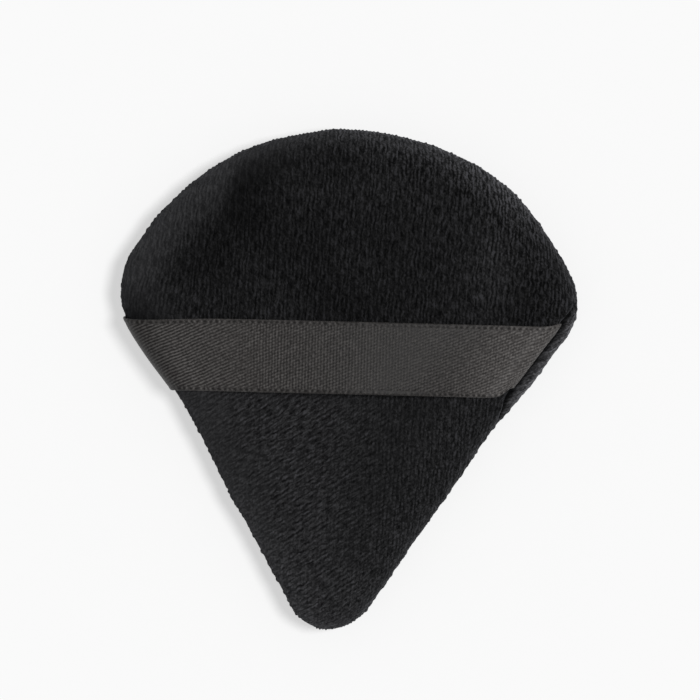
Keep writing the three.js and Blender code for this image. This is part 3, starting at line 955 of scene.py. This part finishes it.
def seam_thread(side, name, material):
    """One thread of the machine seam, all round but for the gap that was closed by hand."""
    length = PERIMETER - CLOSING_LENGTH
    stitches = round(length / STITCH_LENGTH)
    share = np.linspace(0, 1, stitches * 16)
    near = at_run(CLOSING_START + CLOSING_LENGTH + length * share)
    bow = STITCH_BOW * np.sin(math.pi * stitches * share) ** 2
    offset = HALF_GAP[near] + VELOUR_THICKNESS + FIT_CLEARANCE + THREAD_DIAMETER / 2 + bow
    spot = seam_place(near, STITCH_LINE, side * offset)
    return thread(name, place(near, spot), material)


def closing_thread(material):
    """The ladder stitch that closes the gap, swinging from one folded edge to the other."""
    stitches = math.floor(CLOSING_LENGTH / CLOSING_STITCH)
    share = np.linspace(0.2 / stitches, 1 - 0.2 / stitches, stitches * 24)
    near = at_run(CLOSING_START + CLOSING_LENGTH * share)
    swing = SEAM_GAP / 2 + FOLD_RADIUS / 4 - THREAD_DIAMETER / 2
    ladder = np.clip(1.6 * np.sin(math.pi * stitches * share), -1, 1)
    spot = seam_place(near, CLOSING_DEPTH, swing * ladder)
    return thread("closing_thread", place(near, spot), material)


class Shader:
    """A node material with one Principled surface."""

    def __init__(self, name, **constants):
        self.material = bpy.data.materials.new(name)
        self.material.use_nodes = True
        self.tree = self.material.node_tree
        self.surface = self.tree.nodes["Principled BSDF"]
        for key, value in constants.items():
            self.surface.inputs[key.replace("_", " ")].default_value = value

    def feed(self, socket, value):
        if isinstance(value, bpy.types.NodeSocket):
            self.tree.links.new(value, socket)
        else:
            socket.default_value = value

    def add(self, kind, inputs=(), output=0, **settings):
        node = self.tree.nodes.new("ShaderNode" + kind)
        for key, value in settings.items():
            setattr(node, key, value)
        pairs = inputs.items() if isinstance(inputs, dict) else enumerate(inputs)
        for key, value in pairs:
            self.feed(node.inputs[key], value)
        return node.outputs[output]

    def math(self, operation, *values, clamp=False):
        return self.add("Math", values, operation=operation, use_clamp=clamp)

    def plus(self, first, second, clamp=False):
        return self.math("ADD", first, second, clamp=clamp)

    def minus(self, first, second):
        return self.math("SUBTRACT", first, second)

    def times(self, first, second, plus=0.0, clamp=False):
        """Product of two values, with a third one added."""
        return self.math("MULTIPLY_ADD", first, second, plus, clamp=clamp)

    def attribute(self, name, output="Fac"):
        return self.add("Attribute", output=output, attribute_name=name)

    def axes(self, vector):
        return self.add("SeparateXYZ", [vector]).node.outputs

    def noise(self, vector, scale, detail=2.0):
        return self.add("TexNoise", {"Vector": vector, "Scale": scale, "Detail": detail}, output="Fac")

    def swing(self, vector, scale, detail=2.0):
        """Noise around 0."""
        return self.minus(self.noise(vector, scale, detail), 0.5)

    def mix(self, factor, first, second):
        return self.add("Mix", {"Factor": factor, "A": first, "B": second}, data_type="FLOAT")

    def wave(self, phase):
        """Cosine of a phase counted in turns."""
        return self.math("COSINE", self.times(phase, 2 * math.pi))

    def crease(self, phase):
        """Level ground with one narrow dip for each turn of a phase."""
        dip = self.times(self.wave(phase), -0.5, 0.5)
        return self.times(self.times(dip, dip), -2.0, 0.75)

    def ramp(self, value, stops):
        """Colour that follows a value from stop to stop."""
        color = self.add("ValToRGB", [value], output="Color")
        ramp = color.node.color_ramp
        while len(ramp.elements) < len(stops):
            ramp.elements.new(0.5)
        for element, (position, shade) in zip(ramp.elements, stops):
            element.position = position
            element.color = (*shade, 1)
        return color

    def scaled(self, color, factor):
        return self.add("VectorMath", {0: color, "Scale": factor}, output="Vector", operation="SCALE")

    def finished(self, color, height, distance, strength):
        """The material, with its colour and a fine relief of this height."""
        self.feed(self.surface.inputs["Base Color"], color)
        inputs = {"Height": height, "Distance": distance, "Strength": strength}
        self.feed(self.surface.inputs["Normal"], self.add("Bump", inputs, output="Normal"))
        return self.material


def velour_material():
    shader = Shader(
        "velour",
        Roughness=1.0,
        Specular_IOR_Level=0.06,
        Sheen_Weight=0.06,
        Sheen_Roughness=0.5,
        Sheen_Tint=(0.8, 0.82, 0.9, 1),
    )
    cloth = shader.attribute("cloth", "Vector")
    wale, course, lean = shader.axes(cloth)
    upright = shader.minus(1.0, lean)
    # The knit wanders, so the loops aren't on a perfect lattice.
    wale = shader.times(shader.swing(cloth, 0.45), shader.times(upright, 0.9, 0.5), wale)
    course = shader.times(shader.swing(cloth, 0.8, 1.0), shader.times(upright, 0.8, 0.7), course)
    half = shader.times(wale, 0.5)
    on_rise = shader.minus(course, half)
    on_fall = shader.plus(course, half)
    # Flecks are drawn out along the way that the pile lies, and speckles lie on top of them.
    standing = shader.add("CombineXYZ", [shader.times(wale, 1.5), shader.times(course, 0.6), 0.0])
    lying = shader.add("CombineXYZ", [shader.times(on_rise, 2.1), shader.times(on_fall, 0.6), 0.0])
    fleck = shader.mix(lean, shader.swing(standing, 1.0), shader.swing(lying, 1.0))
    speckle = shader.swing(cloth, 2.6, 1.0)
    straight = shader.times(shader.crease(wale), shader.times(upright, 0.2, 0.09))
    rising = shader.times(shader.crease(on_rise), shader.times(lean, 0.26))
    falling = shader.times(shader.wave(on_fall), shader.times(upright, 0.17))
    # Every other wale sinks into a furrow where the pile lies straight.
    furrow = shader.times(shader.wave(half), shader.times(upright, 0.13))
    knit = shader.plus(shader.plus(rising, falling), shader.plus(straight, furrow))
    pattern = shader.times(fleck, 2.15, shader.times(knit, 0.5))
    pattern = shader.plus(pattern, speckle)
    height = shader.times(pattern, shader.attribute("contrast"), 0.5, clamp=True)
    stops = [
        (0.0, (0.0016, 0.0016, 0.0017)),
        (0.45, (0.0078, 0.0078, 0.0082)),
        (0.8, (0.0170, 0.0170, 0.0178)),
        (1.0, (0.0250, 0.0250, 0.0275)),
    ]
    # The pile's colour is scaled by its painted light and shade, with a little random tone.
    color = shader.scaled(shader.ramp(height, stops), shader.attribute("painted_light_and_tone"))
    return shader.finished(color, height, 0.12 * MM, 0.6)


def satin_material():
    shader = Shader("satin", Roughness=0.5, Specular_IOR_Level=0.1, Sheen_Weight=0.05)
    weave = shader.attribute("weave", "Vector")
    column, line, from_edge = shader.axes(weave)
    slant = shader.attribute("slant")
    slip = shader.times(shader.swing(weave, 0.35), 0.5)
    line = shader.plus(line, slip)
    twill = shader.wave(shader.times(column, SATIN_SHIFT, line))
    ribs = shader.wave(shader.plus(column, slip))
    ribs = shader.times(ribs, shader.times(slant, -0.8, 0.586, clamp=True))
    floats = shader.times(twill, shader.times(slant, 0.34), ribs)
    # Woven selvedge: a light edge with a row of dark dots in it, in place of the floats.
    bead = shader.wave(shader.times(column, WEAVE_COLUMN / SELVEDGE_BEAD, shader.times(slip, 2.0)))
    off_row = shader.math("DIVIDE", shader.minus(from_edge, 0.42), 0.2)
    row = shader.math("EXPONENT", shader.times(shader.times(off_row, off_row), -1.0))
    dots = shader.times(row, shader.times(bead, -0.45, -0.2))
    inner = shader.math("DIVIDE", shader.minus(from_edge, 0.65), 0.15, clamp=True)
    pattern = shader.times(shader.swing(weave, 1.3), 1.5, shader.mix(inner, dots, floats))
    height = shader.plus(pattern, 0.5, clamp=True)
    stops = [
        (0.0, (0.0160, 0.0148, 0.0143)),
        (0.5, (0.0423, 0.0395, 0.0384)),
        (1.0, (0.0987, 0.0935, 0.0902)),
    ]
    shader.feed(shader.surface.inputs["Roughness"], shader.times(height, 0.16, 0.42))
    # The satin's colour is scaled by its painted highlight and shade along the ribbon.
    color = shader.scaled(shader.ramp(height, stops), shader.attribute("painted_light_and_tone"))
    return shader.finished(color, height, 0.05 * MM, 0.5)


def sponge_material():
    shader = Shader("sponge", Roughness=0.95, Specular_IOR_Level=0.2)
    where = shader.add("TexCoord", output="Object")
    cells = shader.add("TexVoronoi", {"Vector": where, "Scale": 1800.0}, output="Distance")
    height = shader.times(shader.noise(where, 900.0), 0.3, cells, clamp=True)
    stops = [
        (0.0, (0.45, 0.41, 0.33)),
        (0.35, (0.80, 0.76, 0.66)),
        (1.0, (0.87, 0.84, 0.76)),
    ]
    return shader.finished(shader.ramp(height, stops), height, 0.3 * MM, 0.7)


def thread_material():
    shader = Shader("thread", Roughness=0.6, Specular_IOR_Level=0.3)
    hair = shader.noise(shader.add("TexCoord", output="Object"), 6000.0)
    height = shader.times(shader.attribute("ply"), 0.3, hair, clamp=True)
    stops = [
        (0.0, (0.006, 0.006, 0.0065)),
        (0.6, (0.022, 0.022, 0.023)),
        (1.0, (0.05, 0.05, 0.052)),
    ]
    return shader.finished(shader.ramp(height, stops), height, 0.05 * MM, 0.5)


velour = velour_material()
satin = satin_material()
foam = sponge_material()
yarn = thread_material()

swell = cloth_pass(velour)
front = velour_cover(1, swell[1], velour, "velour_front")
back = velour_cover(-1, swell[-1], velour, "velour_back")
core = sponge(foam)
strap, strap_length = ribbon(satin)
needle = seam_thread(1, "needle_thread", yarn)
bobbin = seam_thread(-1, "bobbin_thread", yarn)
closing = closing_thread(yarn)

for piece, node, slot in (
    (front, "front_panel", "velour"),
    (back, "back_panel", "velour"),
    (core, "foam_core", "sponge"),
    (strap, "finger_strap", "satin"),
    (needle, "seam_needle_thread", "thread"),
    (bobbin, "seam_bobbin_thread", "thread"),
    (closing, "closing_stitch", "thread"),
):
    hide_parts(node)
for piece in (front, back, core, needle, bobbin, closing):
    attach(piece, "pad")
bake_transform(strap)


def make_floor():
    """White paper that shows the object's shadow."""
    mesh = bpy.data.meshes.new("floor")
    corners = [(-1, -1), (1, -1), (1, 1), (-1, 1)]
    mesh.from_pydata([(x * FLOOR_HALF, y * FLOOR_HALF, 0) for x, y in corners], [], [(0, 1, 2, 3)])
    floor = bpy.data.objects.new("floor", mesh)
    bpy.context.collection.objects.link(floor)
    paper = Shader("paper", Roughness=1.0, Specular_IOR_Level=0.0)
    grain = paper.noise(paper.add("TexCoord", output="Object"), 300.0)
    dark, light = PAPER_TONE - PAPER_GRAIN, PAPER_TONE + PAPER_GRAIN
    color = paper.ramp(grain, [(0.0, (dark, dark, dark)), (1.0, (light, light, light))])
    paper.feed(paper.surface.inputs["Base Color"], color)
    # Seen directly, the floor is mostly plain white, so that the shadow stays as light as in the photograph.
    ray = paper.tree.nodes.new("ShaderNodeLightPath").outputs
    seen = paper.math("MAXIMUM", ray["Is Camera Ray"], ray["Is Glossy Ray"])
    seen = paper.math("MAXIMUM", seen, ray["Is Transmission Ray"])
    white = (PAPER_TONE, PAPER_TONE, PAPER_TONE, 1)
    glow = paper.add("Emission", {"Color": white, "Strength": 1.0})
    shade = paper.times(seen, FLOOR_EVENNESS)
    mixed = paper.add("MixShader", [shade, paper.surface.outputs[0], glow])
    paper.feed(paper.tree.nodes["Material Output"].inputs["Surface"], mixed)
    mesh.materials.append(paper.material)


def make_lights():
    """An even white world and one soft sun."""
    world = bpy.data.worlds.new("studio")
    bpy.context.scene.world = world
    world.use_nodes = True
    background = world.node_tree.nodes["Background"].inputs
    background["Color"].default_value = (1, 1, 1, 1)
    background["Strength"].default_value = FILL_LEVEL

    sun = bpy.data.lights.new("key", "SUN")
    sun.energy = (1 - FILL_LEVEL) * math.pi / math.cos(KEY_TILT)
    sun.angle = KEY_SOFTNESS
    lamp = bpy.data.objects.new("key", sun)
    bpy.context.collection.objects.link(lamp)
    lamp.rotation_euler = (0, KEY_TILT, KEY_TURN)


def make_camera():
    """A camera straight above, with the photograph's frame at the height of the pad's widest line."""
    lens = bpy.data.cameras.new("camera")
    lens.sensor_width = SENSOR_WIDTH
    lens.lens = SENSOR_WIDTH * (CAMERA_HEIGHT - EDGE_HEIGHT) / FRAME_WIDTH
    lens.clip_end = 10
    camera = bpy.data.objects.new("camera", lens)
    bpy.context.collection.objects.link(camera)
    camera.location = (*CAMERA_AIM, CAMERA_HEIGHT)
    camera.rotation_euler = (0, 0, CAMERA_TURN)
    bpy.context.scene.camera = camera


make_floor()
make_lights()
make_camera()
bpy.context.scene.view_settings.view_transform = "Standard"
